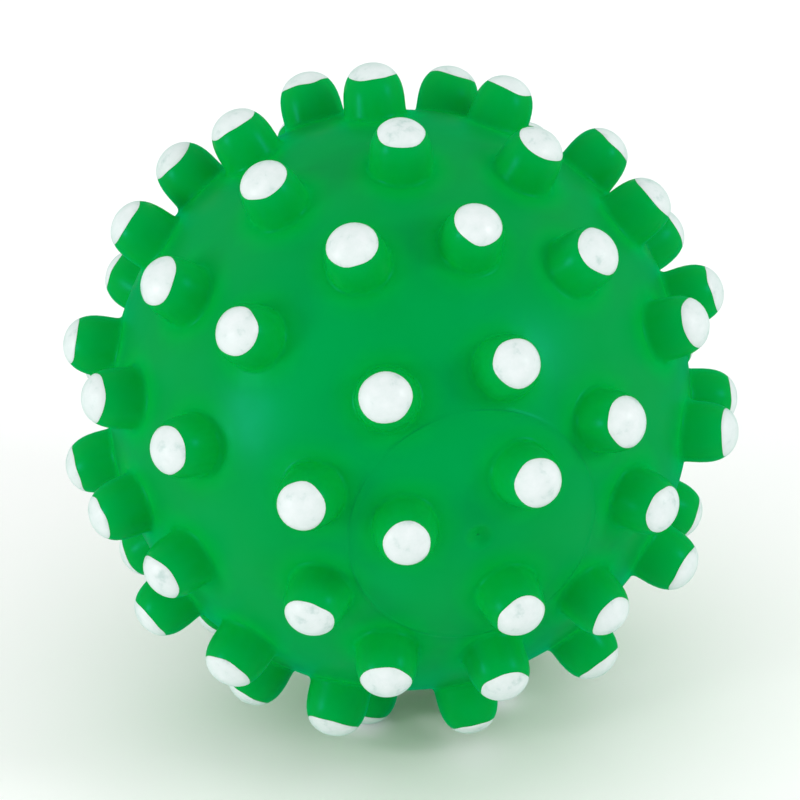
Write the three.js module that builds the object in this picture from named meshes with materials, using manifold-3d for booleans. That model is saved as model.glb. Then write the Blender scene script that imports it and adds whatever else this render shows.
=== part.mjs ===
// Soft vinyl spiky ball with a squeaker behind its closing cap.
// Millimetres, +Z up. The origin is the centre of the ball. The cap, with its vent, faces -Y.
import * as THREE from "three";
import { mergeVertices } from "three/addons/utils/BufferGeometryUtils.js";
import Module from "manifold-3d";

// Ball
const TIP_RADIUS = 50; // centre of the ball to the end of every spike
const WALL_RADIUS = 42.5; // outside of the round wall
const WALL_THICKNESS = 2.4;

// Spikes, which are moulded in one with the wall
const SPIKE_FOOT_DIAMETER = 9.2; // where a spike leaves the wall
const SPIKE_SHOULDER_DIAMETER = 8; // where its domed end begins
const SPIKE_DOME_HEIGHT = 2.7; // shoulder to end

// Rings of spikes, from the cap to the rear pole. Angles are in degrees: polar from the cap's axis,
// and phase from +X towards +Z for the ring's first spike. The mould was laid out by eye, so some
// spikes are off their even places. Each of these has its own shifts of polar and phase.
const RINGS = [
  { polar: 14.7, count: 3, phase: 171, off: { 0: [0, -8] } },
  {
    polar: 32.9,
    count: 9,
    phase: -83,
    off: { 2: [2.6, -2.5], 3: [0, -7], 4: [0, -2.5], 6: [0, 3], 7: [0, 3] },
  },
  {
    polar: 59.5,
    count: 13,
    phase: 80,
    off: {
      0: [-2, 1],
      1: [-0.6, -1.4],
      2: [-0.5, -0.9],
      4: [3, 2],
      5: [2, 0],
      6: [3, -1],
      7: [3, 0],
      9: [-3.5, 0],
      10: [3, 0],
      11: [1, 0.5],
      12: [-2.4, 2.9],
    },
  },
  {
    polar: 79.4,
    count: 15,
    phase: 138,
    off: {
      0: [0, 1.9],
      1: [3.1, 3.1],
      2: [0, 0.7],
      4: [-2, 0],
      8: [2, 0],
      9: [2, 0],
      11: [3.5, -4],
      12: [-1, -1],
      14: [1.5, 0.9],
    },
  },
  {
    polar: 104,
    count: 15,
    phase: 138,
    off: {
      0: [2.5, 3],
      1: [-1, 2.5],
      2: [-2, 3],
      3: [2, 4],
      5: [-3.4, 0], // this one and the next carry the ball, level with the two in front of them
      6: [-3.4, 0],
      10: [-3, 1.5],
      11: [-4.5, 0],
      12: [0, -3.5],
      13: [2, -2],
      14: [2, 0.5],
    },
  },
  {
    polar: 122,
    count: 13,
    phase: 98,
    off: { 1: [-5, 2.5], 2: [10, 8.5], 3: [4, 0], 11: [6, -4], 12: [-2.5, -3] },
  },
  { polar: 147, count: 9, phase: -63, off: {} },
  { polar: 165.3, count: 3, phase: 231, off: {} },
];

// Closing cap: the round of wall that carries the first ring and the vent
const SEAM_PLACE = 0.85; // seam, as a share of the way from the first ring's feet to the second's
const CAP_LIP_WIDTH = 2.4; // how far the cap's lip reaches under the shell
const CAP_LIP_THICKNESS = 1.2;
const VENT_DIAMETER = 1;
const DIMPLE_DIAMETER = 3.2; // shallow hollow that the vent opens in
const DIMPLE_DEPTH = 0.8;
const COLLAR_WALL = 1.8; // sleeve inside the cap that holds the squeaker

// Squeaker
const SQUEAKER_DIAMETER = 16;
const SQUEAKER_LENGTH = 9;
const SQUEAKER_WALL = 1.2;
const SQUEAKER_MOUTH_DIAMETER = 5;
const CHAMBER_DEPTH = 1.6; // between the mouth's wall and the reed plate's ledge
const LEDGE_WIDTH = 1;
const PLATE_THICKNESS = 1.2;
const REED_WIDTH = 4.4;
const REED_FREE_LENGTH = 7.4;
const REED_THICKNESS = 0.3;
const REED_OVERLAP = 0.7; // how far the reed covers the plate round its slot
const CLAMP_HEIGHT = 2.2; // length of reed that the clamp holds
const CLAMP_BRIDGE = 1.2;
const CLAMP_LEG_WIDTH = 1.2;
const COVER_THICKNESS = 1.2;
const COVER_HOLE_DIAMETER = 2;
const COVER_HOLE_COUNT = 6;
const COVER_HOLE_CIRCLE = 8; // diameter of the circle that the holes lie on

const CLEARANCE = 0.3; // gap at every fit and seat

// Facets
const WALL_SIDES = 32;
const SPIKE_SIDES = 10;
const DOME_STEPS = 2;
const SMALL_ROUND_SIDES = 32;
const CURVE_SEGMENTS = 8;
const ARC_STEP = 12; // degrees of wall to a facet

const innerRadius = WALL_RADIUS - WALL_THICKNESS;
const rings = RINGS.map(spikeDirections);
const seamRadius = seamPosition();

const wasm = await Module();
wasm.setup();

const vinyl = new THREE.MeshStandardMaterial({ color: 0x049d46, roughness: 0.42, metalness: 0 });
const plastic = new THREE.MeshStandardMaterial({ color: 0xe8e4d8, roughness: 0.5, metalness: 0 });
const brass = new THREE.MeshStandardMaterial({ color: 0xc8a24c, roughness: 0.3, metalness: 1 });

// The unit vectors along a ring's spikes.
function spikeDirections({ polar, count, phase, off }) {
  return Array.from({ length: count }, (_, i) => {
    const [polarShift, phaseShift] = off[i] ?? [0, 0];
    const tilt = THREE.MathUtils.degToRad(polar + polarShift);
    const turn = THREE.MathUtils.degToRad(phase + (360 * i) / count + phaseShift);
    const across = Math.sin(tilt);
    return new THREE.Vector3(across * Math.cos(turn), -Math.cos(tilt), across * Math.sin(turn));
  });
}

// The seam's distance from the cap's axis, between the feet of the first two rings.
function seamPosition() {
  const [first, second] = rings.map((ring) => ring.map(footDistance));
  const inside = Math.max(...first) + SPIKE_FOOT_DIAMETER / 2;
  const outside = Math.min(...second) - SPIKE_FOOT_DIAMETER / 2;
  return THREE.MathUtils.lerp(inside, outside, SEAM_PLACE);
}

// How far from the cap's axis a spike leaves the wall.
function footDistance(direction) {
  return WALL_RADIUS * Math.hypot(direction.x, direction.z);
}

// A closed mesh as a solid that can be joined and cut.
function toSolid(geometry) {
  const bare = geometry.clone();
  bare.deleteAttribute("normal");
  bare.deleteAttribute("uv");
  const merged = mergeVertices(bare);
  const vertProperties = new Float32Array(merged.attributes.position.array);
  const triVerts = new Uint32Array(merged.index.array);
  return new wasm.Manifold(new wasm.Mesh({ numProp: 3, vertProperties, triVerts }));
}

function toGeometry(solid) {
  const { vertProperties, triVerts } = solid.getMesh();
  const geometry = new THREE.BufferGeometry();
  geometry.setAttribute("position", new THREE.BufferAttribute(vertProperties, 3));
  geometry.setIndex(new THREE.BufferAttribute(triVerts, 1));
  geometry.computeVertexNormals();
  return geometry;
}

function mesh(name, geometry, material) {
  const made = new THREE.Mesh(geometry, material);
  made.name = name;
  return made;
}

// Points of a sphere's profile from polar angle to polar angle, in radians from the cap's axis.
function sphereArc(radius, from, to) {
  const steps = Math.max(1, Math.round(Math.abs(to - from) / THREE.MathUtils.degToRad(ARC_STEP)));
  return Array.from({ length: steps + 1 }, (_, i) => {
    const angle = THREE.MathUtils.lerp(from, to, i / steps);
    return new THREE.Vector2(radius * Math.sin(angle), -radius * Math.cos(angle));
  });
}

// The same arc between two distances from the cap's axis, on the cap's side.
function capArc(radius, from, to) {
  return sphereArc(radius, Math.asin(from / radius), Math.asin(to / radius));
}

// The height of a sphere's front side at a distance from the cap's axis.
function frontOf(radius, distance) {
  return -Math.sqrt(radius ** 2 - distance ** 2);
}

function ringLathe(profile, sides) {
  return new THREE.LatheGeometry([...profile, profile[0]], sides);
}

// One spike along +Y, rooted in the middle of the wall, with a domed end.
function spikeGeometry() {
  const root = WALL_RADIUS - WALL_THICKNESS / 2;
  const shoulder = TIP_RADIUS - SPIKE_DOME_HEIGHT;
  const footRadius = SPIKE_FOOT_DIAMETER / 2;
  const shoulderRadius = SPIKE_SHOULDER_DIAMETER / 2;
  const taper = (footRadius - shoulderRadius) / (shoulder - WALL_RADIUS);
  const rootRadius = footRadius + taper * (WALL_RADIUS - root);
  const profile = [
    new THREE.Vector2(0, root),
    new THREE.Vector2(rootRadius, root),
  ];
  for (let i = 0; i < DOME_STEPS; i++) {
    const rise = ((Math.PI / 2) * i) / DOME_STEPS;
    profile.push(
      new THREE.Vector2(shoulderRadius * Math.cos(rise), shoulder + SPIKE_DOME_HEIGHT * Math.sin(rise)),
    );
  }
  profile.push(new THREE.Vector2(0, TIP_RADIUS));
  return new THREE.LatheGeometry(profile, SPIKE_SIDES);
}

// A wall with spikes moulded on it.
function withSpikes(wall, directions) {
  const spike = spikeGeometry();
  const along = new THREE.Vector3(0, 1, 0);
  const spikes = directions.map((direction) => {
    const turn = new THREE.Quaternion().setFromUnitVectors(along, direction);
    return toSolid(spike.clone().applyQuaternion(turn));
  });
  return toGeometry(spikes.reduce((joined, next) => joined.add(next), toSolid(wall)));
}

// Hollow wall, open in front where the cap goes, with every ring but the first.
function ballShell() {
  const opening = seamRadius + CLEARANCE / 2;
  const outside = sphereArc(WALL_RADIUS, Math.asin(opening / WALL_RADIUS), Math.PI);
  const inside = sphereArc(innerRadius, Math.PI, Math.asin(opening / innerRadius));
  outside.at(-1).x = 0;
  inside[0].x = 0;
  const wall = new THREE.LatheGeometry([...inside, ...outside], WALL_SIDES);
  return mesh("ball_shell", withSpikes(wall, rings.slice(1).flat()), vinyl);
}

// Round of wall with the vent, a lip that seats behind the shell's edge and the squeaker's sleeve.
function closingCap() {
  const edge = seamRadius - CLEARANCE / 2;
  const lipOuter = innerRadius - CLEARANCE;
  const lipInner = lipOuter - CAP_LIP_THICKNESS;
  const lipEdge = seamRadius + CAP_LIP_WIDTH;
  const vent = VENT_DIAMETER / 2;
  const dimple = DIMPLE_DIAMETER / 2;
  const sleeveInside = SQUEAKER_DIAMETER / 2 + CLEARANCE;
  const sleeveOutside = sleeveInside + COLLAR_WALL;
  const sleeveEnd = squeakerFront() + SQUEAKER_LENGTH - SQUEAKER_WALL - CLEARANCE;
  const profile = [
    new THREE.Vector2(vent, frontOf(WALL_RADIUS, dimple) + DIMPLE_DEPTH),
    ...capArc(WALL_RADIUS, dimple, edge),
    ...capArc(lipOuter, edge, lipEdge),
    ...capArc(lipInner, lipEdge, edge - CAP_LIP_WIDTH),
    ...capArc(innerRadius, edge - CAP_LIP_WIDTH, sleeveOutside),
    new THREE.Vector2(sleeveOutside, sleeveEnd),
    new THREE.Vector2(sleeveInside, sleeveEnd),
    ...capArc(innerRadius, sleeveInside, vent),
  ];
  const wall = ringLathe(profile, WALL_SIDES);
  return mesh("closing_cap", withSpikes(wall, rings[0]), vinyl);
}

// Where the squeaker's front comes to rest against the curved inside of the cap.
function squeakerFront() {
  return frontOf(innerRadius, SQUEAKER_DIAMETER / 2) + CLEARANCE;
}

// The squeaker's own frame: its front is at y 0, and +Y goes into the ball.
const boreRadius = SQUEAKER_DIAMETER / 2 - SQUEAKER_WALL;
const ledge = SQUEAKER_WALL + CHAMBER_DEPTH;
const plateBack = ledge + CLEARANCE + PLATE_THICKNESS;
const reedBack = plateBack + CLEARANCE + REED_THICKNESS;
const reedRoot = (REED_FREE_LENGTH - CLAMP_HEIGHT) / 2; // height of the clamp's lower edge

// Cup with an air mouth in front, a ledge for the reed plate and a flange on the sleeve's end.
function squeakerHousing() {
  const mouth = SQUEAKER_MOUTH_DIAMETER / 2;
  const outside = SQUEAKER_DIAMETER / 2;
  const flangeRadius = outside + CLEARANCE + COLLAR_WALL;
  const flangeFront = SQUEAKER_LENGTH - SQUEAKER_WALL;
  const profile = [
    new THREE.Vector2(mouth, 0),
    new THREE.Vector2(outside, 0),
    new THREE.Vector2(outside, flangeFront),
    new THREE.Vector2(flangeRadius, flangeFront),
    new THREE.Vector2(flangeRadius, SQUEAKER_LENGTH),
    new THREE.Vector2(boreRadius, SQUEAKER_LENGTH),
    new THREE.Vector2(boreRadius, ledge),
    new THREE.Vector2(boreRadius - LEDGE_WIDTH, ledge),
    new THREE.Vector2(boreRadius - LEDGE_WIDTH, SQUEAKER_WALL),
    new THREE.Vector2(mouth, SQUEAKER_WALL),
  ];
  return mesh("squeaker_housing", ringLathe(profile, SMALL_ROUND_SIDES), plastic);
}

// A flat piece drawn in X and Z, whose back is at a depth in the squeaker.
function flatPiece(name, outline, thickness, back, material) {
  const geometry = new THREE.ExtrudeGeometry(outline, {
    depth: thickness,
    bevelEnabled: false,
    curveSegments: CURVE_SEGMENTS,
  });
  const made = mesh(name, geometry, material);
  made.rotation.x = Math.PI / 2;
  made.position.y = back;
  return made;
}

function disc(radius) {
  return new THREE.Shape().absarc(0, 0, radius, 0, 2 * Math.PI);
}

// A strip hanging from a height, with a round lower end.
function strip(outline, width, top, length) {
  const half = width / 2;
  const end = top - length + half;
  outline.moveTo(half, top);
  outline.lineTo(-half, top);
  outline.lineTo(-half, end);
  outline.absarc(0, end, half, Math.PI, 2 * Math.PI);
  outline.closePath();
  return outline;
}

function reedPlate() {
  const outline = disc(boreRadius - CLEARANCE);
  const slotWidth = REED_WIDTH - 2 * REED_OVERLAP;
  const slotLength = REED_FREE_LENGTH - 2 * REED_OVERLAP;
  outline.holes.push(strip(new THREE.Path(), slotWidth, reedRoot - REED_OVERLAP, slotLength));
  return flatPiece("reed_plate", outline, PLATE_THICKNESS, plateBack, plastic);
}

function reed() {
  const outline = strip(new THREE.Shape(), REED_WIDTH, reedRoot + CLAMP_HEIGHT, REED_FREE_LENGTH + CLAMP_HEIGHT);
  return flatPiece("reed", outline, REED_THICKNESS, reedBack, brass);
}

// Bridge over the top of the reed, standing on the plate on two legs.
function reedClamp() {
  const inside = REED_WIDTH / 2 + CLEARANCE;
  const outside = inside + CLAMP_LEG_WIDTH;
  const foot = plateBack + CLEARANCE;
  const underside = reedBack + CLEARANCE;
  const top = underside + CLAMP_BRIDGE;
  const outline = new THREE.Shape([
    new THREE.Vector2(-outside, foot),
    new THREE.Vector2(-inside, foot),
    new THREE.Vector2(-inside, underside),
    new THREE.Vector2(inside, underside),
    new THREE.Vector2(inside, foot),
    new THREE.Vector2(outside, foot),
    new THREE.Vector2(outside, top),
    new THREE.Vector2(-outside, top),
  ]);
  const geometry = new THREE.ExtrudeGeometry(outline, { depth: CLAMP_HEIGHT, bevelEnabled: false });
  const made = mesh("reed_clamp", geometry, plastic);
  made.position.z = reedRoot;
  return made;
}

// Disc that closes the squeaker's rear, with air holes round its middle.
function squeakerCover() {
  const outline = disc(boreRadius - CLEARANCE);
  for (let i = 0; i < COVER_HOLE_COUNT; i++) {
    const turn = (2 * Math.PI * i) / COVER_HOLE_COUNT;
    const x = (COVER_HOLE_CIRCLE / 2) * Math.cos(turn);
    const y = (COVER_HOLE_CIRCLE / 2) * Math.sin(turn);
    outline.holes.push(new THREE.Path().absarc(x, y, COVER_HOLE_DIAMETER / 2, 0, 2 * Math.PI));
  }
  return flatPiece("squeaker_cover", outline, COVER_THICKNESS, SQUEAKER_LENGTH, plastic);
}

const squeaker = new THREE.Group();
squeaker.position.y = squeakerFront();
squeaker.add(squeakerHousing(), reedPlate(), reed(), reedClamp(), squeakerCover());

const spikyBall = new THREE.Group();
spikyBall.add(ballShell(), closingCap(), squeaker);

export default spikyBall;
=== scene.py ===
"""Soft vinyl spiky ball with white painted spikes: the looks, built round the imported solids.

Metres, +Z up. The origin is the centre of the ball, and the cap with its vent faces -Y.
"""
import math
import random

import bpy
import numpy as np
from mathutils import Matrix, Vector, noise
from mathutils.geometry import delaunay_2d_cdt


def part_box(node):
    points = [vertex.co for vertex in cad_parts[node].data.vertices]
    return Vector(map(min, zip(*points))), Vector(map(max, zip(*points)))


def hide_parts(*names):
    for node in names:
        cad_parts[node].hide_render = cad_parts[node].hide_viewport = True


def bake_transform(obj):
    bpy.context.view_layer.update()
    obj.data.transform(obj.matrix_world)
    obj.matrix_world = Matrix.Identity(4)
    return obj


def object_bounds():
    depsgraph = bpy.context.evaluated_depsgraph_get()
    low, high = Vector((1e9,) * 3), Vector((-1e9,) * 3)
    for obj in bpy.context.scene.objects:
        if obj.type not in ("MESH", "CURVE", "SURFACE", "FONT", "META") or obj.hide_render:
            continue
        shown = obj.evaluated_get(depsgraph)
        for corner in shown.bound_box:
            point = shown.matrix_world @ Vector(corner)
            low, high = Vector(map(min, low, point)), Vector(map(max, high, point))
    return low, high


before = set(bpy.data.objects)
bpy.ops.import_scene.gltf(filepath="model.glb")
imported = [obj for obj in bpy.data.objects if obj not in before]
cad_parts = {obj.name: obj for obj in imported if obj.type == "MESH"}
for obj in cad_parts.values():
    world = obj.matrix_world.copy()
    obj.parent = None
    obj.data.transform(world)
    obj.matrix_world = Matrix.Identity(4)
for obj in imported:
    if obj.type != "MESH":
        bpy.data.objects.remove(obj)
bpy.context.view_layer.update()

MM = 0.001

# Wall
WALL_RADIUS = 42.5 * MM
WALL_THICKNESS = 2.4 * MM
WALL_WAVE = 0.05 * MM  # height of the soft unevenness of the moulded wall
WALL_WAVE_LENGTH = 11 * MM
WALL_POINT_COUNT = 7600
INSIDE_STEPS = 20  # levels of points on the wall's inside, from the seam to the rear pole
SKIN_SHARP_ANGLE = 50  # edges sharper than this, in degrees, stay sharp
SAME_POINT = 1e-7  # points of the wall's flat picture that are closer than this count as one

# Spikes
FOOT_RADIUS = 4.5 * MM
FOOT_FILLET = 0.7 * MM
FILLET_STEPS = 5
SPIKE_ROUNDNESS = 3.6  # 2 is an ellipse, and a higher number has straighter sides and a flatter end
SPIKE_STEPS = 14
SPIKE_SIDES = 32
SPIKE_LEAN = 0.05  # sideways shift of a spike to its height
SPIKE_UNEVENNESS = 0.03  # of its radius
PAINTED_SHADE_WIDTH = 4.2 * MM  # how far the painted light and shade of the spikes' green reaches into the wall round their feet
PAINTED_SHADE_RISE = 0.65  # how much of that painted light and shade is lost from a spike's foot to its end
END_TOLERANCE = 0.01 * MM  # how far the solids' spikes may fall short of the furthest one
END_DECIMALS = 5  # of a metre, to count each end once
STEEP = 0.9  # an axis whose rise is over this takes +X, not +Z, as the reference for its turns

# Paint on the spikes' ends
PAINT_THICKNESS = 0.07 * MM
PAINT_ROOT = 0.05 * MM  # how far the paint's underside lies below the vinyl's surface
PAINT_REACH = 4.07 * MM  # from the spike's end to the paint's edge, along the surface
PAINT_REACH_SPREAD = (0.90, 1.07)  # least and most of that reach
PAINT_SHIFT = 0.26 * MM  # how far off its middle a spike is painted
PAINT_SHIFT_LIMIT = 2.2  # the most, in such shifts
PAINT_LOBES = ((2, 0.15 * MM), (3, 0.11 * MM), (5, 0.07 * MM), (7, 0.04 * MM))  # waves round the edge
PAINT_LOBE_SPREAD = (0.3, 1)  # least and most of a wave's height
PAINT_RINGS = 7
PAINT_UNDER_SHARES = (0.66, 0.33)  # rings of the underside, as shares of the reach
PAINT_EDGE_LOSS = 0.5  # share of the thickness that is lost at the edge
PAINT_EDGE_POWER = 8  # the higher, the closer to the edge the paint thins
PAINT_RIM_REACH = 1.012  # share of the reach
PAINT_RIM_HEIGHT = 0.1  # share of the thickness
PAINT_SHARP_ANGLE = 75
SLOPE_STEP = 0.05 * MM  # along the surface, to find its slope

# Cap
SEAM_GAP = 0.004 * MM
SEAM_RIDGE_HEIGHT = 0.08 * MM
SEAM_RIDGE_WIDTH = 0.5 * MM
SEAM_SIDES = 96
LIP_WIDTH = 2.4 * MM
LIP_THICKNESS = 1.2 * MM
VENT_RADIUS = 0.12 * MM
DIMPLE_RADIUS = 2.2 * MM
DIMPLE_DEPTH = 0.9 * MM
DIMPLE_PAINTED_SHADE = 0.7  # how far the dimple takes the spikes' lighter, purer green: painted light and shade in the dimple
SLEEVE_WALL = 1.8 * MM
CLEARANCE = 0.3 * MM

# Camera: where it stands round the ball, in degrees and metres, and the picture's width at the centre
CAMERA_AZIMUTH = -13.8
CAMERA_ELEVATION = 28.7
CAMERA_ROLL = 3.0
CAMERA_DISTANCE = 0.833
PICTURE_WIDTH = 0.1171
SENSOR_WIDTH = 36
CLIP_START = 0.01
CLIP_END = 20

# Softboxes: metres to the camera's right, up and towards it from the ball's centre, and watts
SOFTBOXES = {
    "left_softbox": (-0.92, -0.12, 0.52, 2.7),
    "right_softbox": (0.86, 0.3, 0.6, 2.3),
}
SOFTBOX_WIDTH = 0.22
SOFTBOX_HEIGHT = 0.3

# Surroundings and floor
SKY = (1, 1, 1, 1)
REFLECTED_SKY = (0.0, 0.50, 0.27, 1)  # what the gloss shows
FLOOR_RADIUS = 4.0
FLOOR_SIDES = 96

# Colours, in linear light, as the noise goes from its low values to its high ones
NOISE_LOW = 0.3
NOISE_HIGH = 0.7
WALL_GREENS = ((0.0, 0.299, 0.043), (0.0, 0.313, 0.055))
# Painted light and shade: the spikes and the wall round their feet get a lighter, purer green that
# lifts the shade falling there and gives it the hue of shade
SPIKE_PAINTED_SHADE_GREENS = ((0.0, 0.392, 0.041), (0.0, 0.412, 0.051))
STAINED_WHITE = (0.50, 0.61, 0.59)
PAINT_WHITES = ((0.68, 0.74, 0.735), (0.75, 0.79, 0.795))
STAIN_PLACE = 0.27  # the noise that gives a full stain
CLEAN_PLACE = 0.42  # the noise where it ends
PLASTIC_CREAMS = ((0.78, 0.75, 0.66), (0.84, 0.81, 0.73))
BRASS_YELLOWS = ((0.52, 0.31, 0.06), (0.63, 0.41, 0.10))
FLOOR_WHITES = ((0.98, 0.98, 0.98), (1.0, 1.0, 1.0))

INNER_RADIUS = WALL_RADIUS - WALL_THICKNESS
dice = random.Random(1722)


def length_of(points):
    return np.linalg.norm(points, axis=-1)


def spike_axes(node):
    """Unit vectors to the ends of a node's spikes, which are its points furthest from the centre."""
    points = np.array([v.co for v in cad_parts[node].data.vertices], float)
    ends = points[length_of(points) > length_of(points).max() - END_TOLERANCE]
    ends = np.unique(np.round(ends, END_DECIMALS), axis=0)
    return ends / length_of(ends)[:, None]


def tip_radius():
    points = np.array([v.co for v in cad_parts["ball_shell"].data.vertices], float)
    return length_of(points).max()


def seam_radius():
    """Distance of the seam from the cap's axis, from the lip that reaches past it."""
    lip_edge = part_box("closing_cap")[1].x
    return lip_edge - LIP_WIDTH


SHELL_AXES = spike_axes("ball_shell")
CAP_AXES = spike_axes("closing_cap")
TIP_RADIUS = tip_radius()
SEAM_RADIUS = seam_radius()


# Outline of a spike

def bezier(a, b, c, steps):
    """Points of a curve from a to c drawn towards b, without the first."""
    a, b, c = (np.array(p, float) for p in (a, b, c))
    t = np.linspace(0, 1, steps + 1)[1:, None]
    return (1 - t) ** 2 * a + 2 * t * (1 - t) * b + t ** 2 * c


def spike_profile():
    """Distance from the spike's axis and height from the ball's centre, from the foot to the end."""
    foot = FOOT_RADIUS + FOOT_FILLET
    start = (foot, math.sqrt(WALL_RADIUS ** 2 - foot ** 2))
    corner = (FOOT_RADIUS, start[1] + FOOT_FILLET * foot / start[1])
    height = TIP_RADIUS - WALL_RADIUS
    first = math.asin((FOOT_FILLET / height) ** (SPIKE_ROUNDNESS / 2))
    rise = np.linspace(first, math.pi / 2, SPIKE_STEPS)
    levels = WALL_RADIUS + height * np.sin(rise) ** (2 / SPIKE_ROUNDNESS)
    side = np.column_stack((FOOT_RADIUS * np.cos(rise), levels))
    fillet = bezier(start, corner, side[0], FILLET_STEPS)
    return np.vstack((start, fillet, side[1:]))


PROFILE = spike_profile()


class Spike:
    """One spike: its axis, its own small unevenness, and the places on its surface."""

    def __init__(self, axis):
        self.axis = axis
        reference = (0.0, 0.0, 1.0) if abs(axis[2]) < STEEP else (1.0, 0.0, 0.0)
        self.across = np.cross(reference, axis)
        self.across /= length_of(self.across)
        self.along = np.cross(axis, self.across)
        turn = dice.uniform(0, 2 * math.pi)
        lean = SPIKE_LEAN * dice.random()
        self.lean = lean * (math.cos(turn) * self.across + math.sin(turn) * self.along)
        self.oval = SPIKE_UNEVENNESS * dice.uniform(-1, 1)
        self.oval_turn = dice.uniform(0, math.pi)

    def place(self, radius, height, turn):
        """Points at distances from the axis, heights from the ball's centre and turns."""
        rise = np.clip((height - PROFILE[0, 1]) / (TIP_RADIUS - PROFILE[0, 1]), 0, 1)
        wide = radius * (1 + self.oval * rise * np.cos(2 * (turn - self.oval_turn)))
        around = np.cos(turn)[..., None] * self.across + np.sin(turn)[..., None] * self.along
        lean = (rise * (TIP_RADIUS - PROFILE[0, 1]))[..., None] * self.lean
        return height[..., None] * self.axis + wide[..., None] * around + lean


SHELL_SPIKES = [Spike(axis) for axis in SHELL_AXES]
CAP_SPIKES = [Spike(axis) for axis in CAP_AXES]
TURNS = np.linspace(0, 2 * math.pi, SPIKE_SIDES, endpoint=False)


def spike_painted_shade_share(points):
    """How far each point takes the spikes' lighter, purer green, which is painted light and shade:
    fully at a foot, fading into the wall round it, less on an end and in the dimple.
    """
    unit = points / length_of(points)[:, None]
    axes = np.vstack((SHELL_AXES, CAP_AXES))
    off_spike = WALL_RADIUS * np.arccos(np.clip((unit @ axes.T).max(axis=1), -1, 1)) - FOOT_RADIUS
    share = np.clip(1 - off_spike / PAINTED_SHADE_WIDTH, 0, 1)
    rise = np.clip((length_of(points) - WALL_RADIUS) / (TIP_RADIUS - WALL_RADIUS), 0, 1)
    share = share ** 2 * (3 - 2 * share) * (1 - PAINTED_SHADE_RISE * rise)
    # The vent's dimple takes part of the same painted light and shade
    off_vent = np.where(points[:, 1] < 0, np.hypot(points[:, 0], points[:, 2]) / DIMPLE_RADIUS, 1)
    return np.maximum(share, DIMPLE_PAINTED_SHADE * np.clip(1 - off_vent ** 2, 0, 1))


# Mesh building

class Skin:
    """Points and faces gathered for one mesh."""

    def __init__(self):
        self.points = []
        self.faces = []

    def add(self, points):
        """Adds points and returns their numbers."""
        first = len(self.points)
        self.points.extend(np.asarray(points, float).reshape(-1, 3))
        return list(range(first, len(self.points)))

    def band(self, lower, upper):
        """Joins two closed rings with quads. Seen from outside they run right, the upper one above."""
        count = len(lower)
        for i in range(count):
            j = (i + 1) % count
            self.faces.append((lower[i], lower[j], upper[j], upper[i]))

    def fan(self, ring, middle):
        """Closes a ring with triangles to one point."""
        for i in range(len(ring)):
            self.faces.append((ring[i], ring[(i + 1) % len(ring)], middle))

    def to_object(self, name, material, sharp_angle):
        mesh = bpy.data.meshes.new(name)
        mesh.from_pydata([tuple(p) for p in self.points], [], self.faces)
        mesh.validate()
        mesh.polygons.foreach_set("use_smooth", [True] * len(mesh.polygons))
        mesh.set_sharp_from_angle(angle=math.radians(sharp_angle))
        mesh.materials.append(material)
        # How far each point takes the painted light and shade of the spikes' green; the same share sets
        # the translucency
        share = spike_painted_shade_share(np.array(self.points))
        mesh.attributes.new("spike_painted_shade_share", "FLOAT", "POINT").data.foreach_set("value", share)
        made = bpy.data.objects.new(name, mesh)
        bpy.context.scene.collection.objects.link(made)
        return made


def front_ring(distance, radius, sides):
    """A ring round the cap's axis, on the cap's side of a sphere, at a distance from the axis."""
    turn = np.linspace(0, 2 * math.pi, sides, endpoint=False)
    depth = -math.sqrt(radius ** 2 - distance ** 2)
    return np.column_stack((distance * np.cos(turn), np.full(sides, depth), distance * np.sin(turn)))


def flat_ring(distance, depth, sides):
    """A ring round the cap's axis at a distance from it and a depth along +Y."""
    turn = np.linspace(0, 2 * math.pi, sides, endpoint=False)
    return np.column_stack((distance * np.cos(turn), np.full(sides, depth), distance * np.sin(turn)))


def lattice(count):
    """Points spread evenly over the wall."""
    i = np.arange(count) + 0.5
    polar = np.arccos(1 - 2 * i / count)
    turn = math.pi * (1 + math.sqrt(5)) * i
    across = np.sin(polar)
    return WALL_RADIUS * np.column_stack((across * np.cos(turn), -np.cos(polar), across * np.sin(turn)))


def triangles_on_sphere(points):
    """Triangles between points of the wall, from their flat picture seen from the rear pole."""
    unit = points / length_of(points)[:, None]
    flat = unit[:, [0, 2]] / (1 - unit[:, 1:2])
    made = delaunay_2d_cdt([Vector(p) for p in flat], [], [], 0, SAME_POINT, True)
    _, _, flat_faces, origins, _, _ = made
    faces = [tuple(origins[i][0] for i in face) for face in flat_faces]
    return [outward(face, points) for face in faces]


def outward(face, points):
    """The triangle, turned over if it looks into the ball."""
    a, b, c = (points[i] for i in face)
    return face if np.dot(np.cross(b - a, c - a), a + b + c) > 0 else face[::-1]


def rear_edge(faces, points):
    """The open edge of a set of triangles round the rear pole, as a ring of points in order."""
    directed = {(f[i], f[(i + 1) % 3]) for f in faces for i in range(3)}
    following = {a: b for a, b in directed if (b, a) not in directed}
    ring = [max(following, key=lambda i: points[i][1])]
    while following[ring[-1]] != ring[0]:
        ring.append(following[ring[-1]])
    return ring


# Relief of the wall

def wall_relief(point):
    """How far the wall stands out of its round form: waves, the seam's ridge and the vent's dimple."""
    wave = WALL_WAVE * noise.noise(Vector(point) / WALL_WAVE_LENGTH)
    if point[1] > 0:
        return wave
    distance = math.hypot(point[0], point[2])
    off_seam = abs(distance - SEAM_RADIUS) / SEAM_RIDGE_WIDTH
    ridge = SEAM_RIDGE_HEIGHT * max(0.0, 1 - off_seam ** 2) ** 2
    dimple = DIMPLE_DEPTH * max(0.0, 1 - (distance / DIMPLE_RADIUS) ** 2) ** 2
    return wave + ridge - dimple


def with_relief(points):
    return np.array([p * (1 + wall_relief(p) / WALL_RADIUS) for p in points])


# Where the wall's points lie closer together

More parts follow.
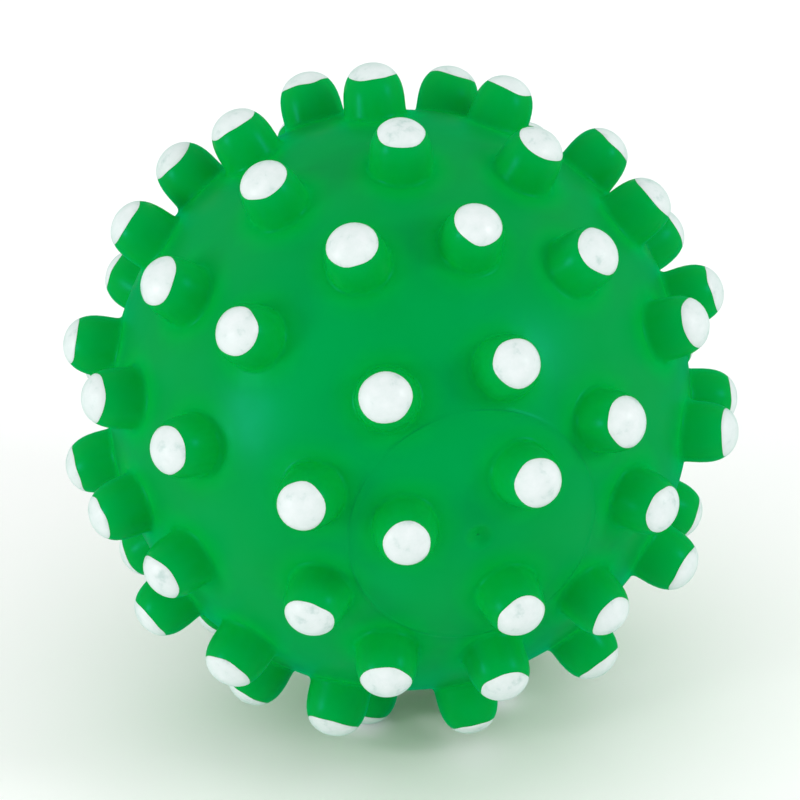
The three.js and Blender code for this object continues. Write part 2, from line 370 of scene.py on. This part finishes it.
SEAM_STEPS = [0.5 * SEAM_GAP, 0.12 * MM, 0.25 * MM, 0.4 * MM, 0.55 * MM, 0.85 * MM]
VENT_STEPS = [step * MM for step in (0, 0.15, 0.4, 0.7, 1.0, 1.3, 1.6, 1.9, 2.2, 2.5)]
FINER_MARGIN = 0.25 * MM
SPACING = WALL_RADIUS * math.sqrt(4 * math.pi / WALL_POINT_COUNT)
EVEN_MARGIN = 0.5 * SPACING  # between the even points and the feet or the seam's finer points
VENT_MARGIN = 0.3 * SPACING


def off_feet(points, spikes, margin):
    """Which points of the wall lie clear of the spikes' feet by a margin."""
    foot = math.asin((FOOT_RADIUS + FOOT_FILLET + margin) / WALL_RADIUS)
    axes = np.array([s.axis for s in spikes])
    return (points @ axes.T / WALL_RADIUS).max(axis=1) < math.cos(foot)


def clear_lattice(spikes, keep):
    """The even points that lie clear of the spikes' feet, the seam and the vent."""
    points = lattice(WALL_POINT_COUNT)
    distance = np.hypot(points[:, 0], points[:, 2])
    front = points[:, 1] < 0
    near_seam = front & (np.abs(distance - SEAM_RADIUS) < SEAM_STEPS[-1] + EVEN_MARGIN)
    near_vent = front & (distance < VENT_RADIUS + VENT_STEPS[-1] + VENT_MARGIN)
    return points[keep(points) & ~near_seam & ~near_vent & off_feet(points, spikes, EVEN_MARGIN)]


def in_cap(points):
    return (points[:, 1] < 0) & (np.hypot(points[:, 0], points[:, 2]) < SEAM_RADIUS)


def outside_cap(points):
    return ~in_cap(points)


def add_spike(skin, spike, foot):
    """Adds a spike's sides and domed end above its foot ring."""
    below = foot
    for radius, height in PROFILE[1:-1]:
        ring = skin.add(spike.place(np.full(SPIKE_SIDES, radius), np.full(SPIKE_SIDES, height), TURNS))
        skin.band(below, ring)
        below = ring
    end = skin.add(spike.place(np.zeros(1), np.array([TIP_RADIUS]), np.zeros(1)))
    skin.fan(below, end[0])


def add_outside(skin, spikes, edges, rings, keep):
    """Adds the outside of a piece of the ball: its wall, open at the edges, with its spikes.

    The rings' points make the wall finer near the edges. Returns the numbers of the wall's points,
    which start with the spikes' feet and the edges, and the wall's faces.
    """
    circle = PROFILE[0]
    feet = [
        s.place(np.full(SPIKE_SIDES, circle[0]), np.full(SPIKE_SIDES, circle[1]), TURNS) for s in spikes
    ]
    loops = feet + edges
    finer = np.vstack(rings)
    finer = finer[off_feet(finer, spikes, FINER_MARGIN)]
    points = np.vstack(loops + [finer, clear_lattice(spikes, keep)])
    owner = np.full(len(points), -1)
    first = 0
    for number, loop in enumerate(loops):
        owner[first:first + len(loop)] = number
        first += len(loop)
    closed = set(range(len(feet)))
    if keep is in_cap:
        closed.add(len(feet))
    faces = []
    for face in triangles_on_sphere(points):
        owners = {owner[i] for i in face}
        if len(owners) == 1 and owners <= closed:
            continue
        faces.append(face)
    numbers = skin.add(with_relief(points))
    skin.faces.extend(faces)
    start = 0
    for spike, foot in zip(spikes, feet):
        add_spike(skin, spike, numbers[start:start + len(foot)])
        start += len(foot)
    return numbers, faces


def ball_skin(material):
    """The ball's wall and all spikes but the cap's, closed by the wall's inside."""
    skin = Skin()
    rings = [front_ring(SEAM_RADIUS + step, WALL_RADIUS, SEAM_SIDES) for step in SEAM_STEPS]
    feet_count = len(SHELL_SPIKES) * SPIKE_SIDES
    numbers, faces = add_outside(skin, SHELL_SPIKES, rings[:1], rings[1:], outside_cap)
    edge = numbers[feet_count:feet_count + SEAM_SIDES]
    cap_hole = set(edge)
    skin.faces = [f for f in skin.faces if not (len(f) == 3 and set(f) <= cap_hole)]
    close_rear(skin, faces)
    polar_edge = math.asin((SEAM_RADIUS + SEAM_STEPS[0]) / INNER_RADIUS)
    above = edge
    for polar in np.linspace(polar_edge, math.pi, INSIDE_STEPS)[:-1]:
        ring = flat_ring(INNER_RADIUS * math.sin(polar), -INNER_RADIUS * math.cos(polar), SEAM_SIDES)
        below = skin.add(ring)
        skin.band(above, below)
        above = below
    pole = skin.add([(0, INNER_RADIUS, 0)])
    skin.fan(above, pole[0])
    return skin.to_object("ball_skin", material, SKIN_SHARP_ANGLE)


def close_rear(skin, faces):
    """Fills the small hole that the flat picture leaves at the rear pole."""
    ring = rear_edge(faces, skin.points)
    middle = skin.add(with_relief([np.array((0, WALL_RADIUS, 0))]))
    skin.fan(ring[::-1], middle[0])


def cap_skin(material):
    """The cap's wall with its three spikes, vent, lip and sleeve."""
    skin = Skin()
    vent = [front_ring(VENT_RADIUS + step, WALL_RADIUS, SEAM_SIDES) for step in VENT_STEPS]
    seam = [front_ring(SEAM_RADIUS - step, WALL_RADIUS, SEAM_SIDES) for step in SEAM_STEPS]
    first = len(CAP_SPIKES) * SPIKE_SIDES
    numbers, _ = add_outside(skin, CAP_SPIKES, [vent[0], seam[0]], vent[1:] + seam[1:], in_cap)
    vent_edge = numbers[first:first + SEAM_SIDES]
    seam_edge = numbers[first + SEAM_SIDES:first + 2 * SEAM_SIDES]
    lip_outside = INNER_RADIUS - CLEARANCE
    lip_inside = lip_outside - LIP_THICKNESS
    edge = SEAM_RADIUS - SEAM_STEPS[0]
    lip_edge = SEAM_RADIUS + LIP_WIDTH
    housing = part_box("squeaker_housing")
    sleeve_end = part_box("closing_cap")[1].y
    sleeve_outside = housing[1].x
    sleeve_inside = sleeve_outside - SLEEVE_WALL
    rings = [
        front_ring(edge, lip_outside, SEAM_SIDES),
        front_ring(lip_edge, lip_outside, SEAM_SIDES),
        front_ring(lip_edge, lip_inside, SEAM_SIDES),
        front_ring(edge - LIP_WIDTH, lip_inside, SEAM_SIDES),
        front_ring(edge - LIP_WIDTH, INNER_RADIUS, SEAM_SIDES),
        front_ring(sleeve_outside, INNER_RADIUS, SEAM_SIDES),
        flat_ring(sleeve_outside, sleeve_end, SEAM_SIDES),
        flat_ring(sleeve_inside, sleeve_end, SEAM_SIDES),
        front_ring(sleeve_inside, INNER_RADIUS, SEAM_SIDES),
        front_ring(VENT_RADIUS, INNER_RADIUS, SEAM_SIDES),
    ]
    above = seam_edge
    for ring in rings:
        below = skin.add(ring)
        skin.band(below, above)
        above = below
    skin.band(vent_edge, above)
    return skin.to_object("cap_skin", material, SKIN_SHARP_ANGLE)


# Paint

def end_surface():
    """Arc length from the spike's end, distance from the axis and height, down to the foot."""
    down = PROFILE[::-1]
    arc = np.concatenate(([0], np.cumsum(length_of(np.diff(down, axis=0)))))
    return arc, down[:, 0], down[:, 1]


def paint_edge():
    """The paint's uneven edge: distance from the spike's end along the surface, for each turn."""
    shift = PAINT_SHIFT * min(PAINT_SHIFT_LIMIT, abs(dice.gauss(0, 1)))
    edge = np.full(SPIKE_SIDES, PAINT_REACH * dice.uniform(*PAINT_REACH_SPREAD))
    edge += shift * np.cos(TURNS - dice.uniform(0, 2 * math.pi))
    for lobes, height in PAINT_LOBES:
        wave = height * dice.uniform(*PAINT_LOBE_SPREAD)
        edge += wave * np.cos(lobes * TURNS - dice.uniform(0, 2 * math.pi))
    return edge


def add_paint(skin, spike):
    """Adds one coat of paint: a thin round shell over a spike's end."""
    arc, distance, height = end_surface()
    edge = paint_edge()

    def ring(share, lift):
        reach = edge * share
        radius = np.interp(reach, arc, distance)
        level = np.interp(reach, arc, height)
        ahead = np.interp(reach + SLOPE_STEP, arc, distance) - radius
        fall = level - np.interp(reach + SLOPE_STEP, arc, height)
        slope = np.hypot(ahead, fall)
        return skin.add(spike.place(radius + lift * fall / slope, level + lift * ahead / slope, TURNS))

    def middle(lift):
        return skin.add(spike.place(np.zeros(1), np.array([TIP_RADIUS + lift]), np.zeros(1)))[0]

    shares = np.linspace(0, 1, PAINT_RINGS + 1)[1:]
    losses = PAINT_EDGE_LOSS * shares ** PAINT_EDGE_POWER
    top = [ring(share, PAINT_THICKNESS * (1 - loss)) for share, loss in zip(shares, losses)]
    rim = ring(PAINT_RIM_REACH, PAINT_RIM_HEIGHT * PAINT_THICKNESS)
    root = ring(1.0, -PAINT_ROOT)
    under = [ring(share, -PAINT_ROOT) for share in PAINT_UNDER_SHARES]
    outside = [root, rim] + top[::-1]
    for lower, upper in zip(outside, outside[1:]):
        skin.band(lower, upper)
    skin.fan(top[0], middle(PAINT_THICKNESS))
    for lower, upper in zip([root] + under, under):
        skin.band(upper, lower)
    skin.fan(under[-1][::-1], middle(-PAINT_ROOT))


def paint_coats(name, spikes, material):
    skin = Skin()
    for spike in spikes:
        add_paint(skin, spike)
    return skin.to_object(name, material, PAINT_SHARP_ANGLE)


# Materials

class Nodes:
    """A new material with its shader, and short ways to add nodes to it."""

    def __init__(self, name):
        self.material = bpy.data.materials.new(name)
        self.material.use_nodes = True
        self.tree = self.material.node_tree
        self.shader = self.tree.nodes["Principled BSDF"]
        self.place = self.tree.nodes.new("ShaderNodeTexCoord").outputs["Object"]

    def set(self, **values):
        for name, value in values.items():
            self.shader.inputs[name.replace("_", " ")].default_value = value

    def link(self, output, name):
        self.tree.links.new(output, self.shader.inputs[name])

    def noise(self, size, detail=2.0, roughness=0.5):
        """Noise whose features are about size metres wide."""
        node = self.tree.nodes.new("ShaderNodeTexNoise")
        node.inputs["Scale"].default_value = 1 / size
        node.inputs["Detail"].default_value = detail
        node.inputs["Roughness"].default_value = roughness
        self.tree.links.new(self.place, node.inputs["Vector"])
        return node.outputs["Fac"]

    def colours(self, value, stops):
        """A colour ramp over a value. Stops are (place, colour)."""
        node = self.tree.nodes.new("ShaderNodeValToRGB")
        ramp = node.color_ramp
        while len(ramp.elements) < len(stops):
            ramp.elements.new(0.5)
        for element, (place, colour) in zip(ramp.elements, stops):
            element.position = place
            element.color = (*colour, 1)
        self.tree.links.new(value, node.inputs["Fac"])
        return node.outputs["Color"]

    def attribute(self, name):
        node = self.tree.nodes.new("ShaderNodeAttribute")
        node.attribute_name = name
        return node.outputs["Fac"]

    def blended(self, share, first, second):
        """Goes from the first colour to the second as a share goes from 0 to 1."""
        node = self.tree.nodes.new("ShaderNodeMixRGB")
        self.tree.links.new(share, node.inputs["Fac"])
        self.tree.links.new(first, node.inputs["Color1"])
        self.tree.links.new(second, node.inputs["Color2"])
        return node.outputs["Color"]

    def range(self, value, low, high):
        """Goes from low to high over the noise's usual values."""
        node = self.tree.nodes.new("ShaderNodeMapRange")
        node.inputs["From Min"].default_value = NOISE_LOW
        node.inputs["From Max"].default_value = NOISE_HIGH
        node.inputs["To Min"].default_value = low
        node.inputs["To Max"].default_value = high
        self.tree.links.new(value, node.inputs["Value"])
        return node.outputs["Result"]

    def bump(self, value, height, strength):
        node = self.tree.nodes.new("ShaderNodeBump")
        node.inputs["Distance"].default_value = height
        node.inputs["Strength"].default_value = strength
        self.tree.links.new(value, node.inputs["Height"])
        self.link(node.outputs["Normal"], "Normal")


def over_noise(colours):
    """The stops of a ramp from one colour to another over the noise's usual values."""
    return list(zip((NOISE_LOW, NOISE_HIGH), colours))


def green_vinyl():
    nodes = Nodes("green_vinyl")
    cloud = nodes.noise(size=14 * MM, detail=3)
    wall = nodes.colours(cloud, over_noise(WALL_GREENS))
    spike = nodes.colours(cloud, over_noise(SPIKE_PAINTED_SHADE_GREENS))
    # Painted light and shade: round the spikes the wall's green gives way to a lighter, purer green;
    # the same share sets the translucency
    share = nodes.attribute("spike_painted_shade_share")
    nodes.link(nodes.blended(share, wall, spike), "Base Color")
    nodes.link(share, "Subsurface Weight")
    nodes.link(nodes.range(nodes.noise(size=6 * MM), low=0.28, high=0.35), "Roughness")
    nodes.bump(nodes.noise(size=0.7 * MM, detail=4), height=0.02 * MM, strength=0.07)
    nodes.set(Specular_Tint=(0.0, 0.6, 1.0, 1), IOR=1.3)
    nodes.set(Subsurface_Radius=(0.2, 1.0, 0.4), Subsurface_Scale=1.5 * MM)
    return nodes.material


def tip_paint():
    nodes = Nodes("tip_paint")
    mottle = nodes.noise(size=2.4 * MM, detail=4, roughness=0.6)
    dull, bright = PAINT_WHITES
    stops = [(STAIN_PLACE, STAINED_WHITE), (CLEAN_PLACE, dull), (NOISE_HIGH, bright)]
    nodes.link(nodes.colours(mottle, stops), "Base Color")
    nodes.link(nodes.range(nodes.noise(size=2.5 * MM), low=0.32, high=0.5), "Roughness")
    nodes.bump(nodes.noise(size=0.9 * MM, detail=4), height=0.03 * MM, strength=0.5)
    return nodes.material


def squeaker_plastic():
    nodes = Nodes("squeaker_plastic")
    nodes.link(nodes.colours(nodes.noise(size=5 * MM), over_noise(PLASTIC_CREAMS)), "Base Color")
    nodes.link(nodes.range(nodes.noise(size=2 * MM), low=0.4, high=0.55), "Roughness")
    nodes.bump(nodes.noise(size=0.4 * MM, detail=4), height=0.02 * MM, strength=0.3)
    return nodes.material


def reed_brass():
    nodes = Nodes("reed_brass")
    nodes.link(nodes.colours(nodes.noise(size=1.5 * MM), over_noise(BRASS_YELLOWS)), "Base Color")
    nodes.link(nodes.range(nodes.noise(size=0.8 * MM), low=0.22, high=0.36), "Roughness")
    nodes.set(Metallic=1.0)
    return nodes.material


def dress(node, material):
    """Gives a material to a solid that the scene keeps."""
    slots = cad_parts[node].data.materials
    slots.clear()
    slots.append(material)


# Studio

def pale_floor(height):
    nodes = Nodes("pale_floor")
    nodes.link(nodes.colours(nodes.noise(size=0.4), over_noise(FLOOR_WHITES)), "Base Color")
    nodes.set(Roughness=0.9, Specular_IOR_Level=0.1)
    bpy.ops.mesh.primitive_circle_add(
        vertices=FLOOR_SIDES, radius=FLOOR_RADIUS, fill_type="NGON", location=(0, 0, height)
    )
    floor = bpy.context.object
    floor.name = "floor"
    floor.data.materials.append(nodes.material)
    floor.visible_glossy = False


def viewing_axes():
    """The camera's right, up and backward directions."""
    azimuth = math.radians(CAMERA_AZIMUTH)
    elevation = math.radians(CAMERA_ELEVATION)
    roll = math.radians(CAMERA_ROLL)
    back = Vector((
        math.sin(azimuth) * math.cos(elevation),
        -math.cos(azimuth) * math.cos(elevation),
        math.sin(elevation),
    ))
    level = Vector((0, 0, 1)).cross(back).normalized()
    upright = back.cross(level)
    right = level * math.cos(roll) - upright * math.sin(roll)
    up = upright * math.cos(roll) + level * math.sin(roll)
    return right, up, back


def add_camera():
    right, up, back = viewing_axes()
    data = bpy.data.cameras.new("camera")
    data.sensor_width = SENSOR_WIDTH
    data.lens = SENSOR_WIDTH * CAMERA_DISTANCE / PICTURE_WIDTH
    data.clip_start = CLIP_START
    data.clip_end = CLIP_END
    camera = bpy.data.objects.new("camera", data)
    turn = Matrix((right, up, back)).transposed().to_4x4()
    camera.matrix_world = Matrix.Translation(back * CAMERA_DISTANCE) @ turn
    bpy.context.scene.collection.objects.link(camera)
    bpy.context.scene.camera = camera


def add_softbox(name, side, height, ahead, power):
    """An area light placed by the camera's directions and turned to the ball."""
    right, up, back = viewing_axes()
    data = bpy.data.lights.new(name, "AREA")
    data.shape = "RECTANGLE"
    data.size = SOFTBOX_WIDTH
    data.size_y = SOFTBOX_HEIGHT
    data.energy = power
    light = bpy.data.objects.new(name, data)
    light.location = right * side + up * height + back * ahead
    light.rotation_euler = light.location.to_track_quat("Z", "Y").to_euler()
    bpy.context.scene.collection.objects.link(light)


def add_world():
    """White all round, with dimmer surroundings for the gloss to show."""
    world = bpy.data.worlds.new("studio")
    world.use_nodes = True
    tree = world.node_tree
    white = tree.nodes["Background"]
    white.inputs["Color"].default_value = SKY
    white.inputs["Strength"].default_value = 1.0
    dim = tree.nodes.new("ShaderNodeBackground")
    dim.inputs["Color"].default_value = REFLECTED_SKY
    mixed = tree.nodes.new("ShaderNodeMixShader")
    rays = tree.nodes.new("ShaderNodeLightPath")
    tree.links.new(rays.outputs["Is Glossy Ray"], mixed.inputs[0])
    tree.links.new(white.outputs[0], mixed.inputs[1])
    tree.links.new(dim.outputs[0], mixed.inputs[2])
    tree.links.new(mixed.outputs[0], tree.nodes["World Output"].inputs["Surface"])
    bpy.context.scene.world = world


def add_light():
    add_world()
    for name, place_and_power in SOFTBOXES.items():
        add_softbox(name, *place_and_power)


add_camera()
vinyl = green_vinyl()
paint = tip_paint()
pieces = [
    ball_skin(vinyl),
    cap_skin(vinyl),
    paint_coats("ball_tip_paint", SHELL_SPIKES, paint),
    paint_coats("cap_tip_paint", CAP_SPIKES, paint),
]
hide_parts("ball_shell")
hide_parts("closing_cap")
for piece in pieces:
    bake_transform(piece)

plastic = squeaker_plastic()
for node in ("squeaker_housing", "reed_plate", "reed_clamp", "squeaker_cover"):
    dress(node, plastic)
dress("reed", reed_brass())

add_light()
bpy.context.scene.view_settings.view_transform = "Standard"
visual_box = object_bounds()
pale_floor(visual_box[0].z)
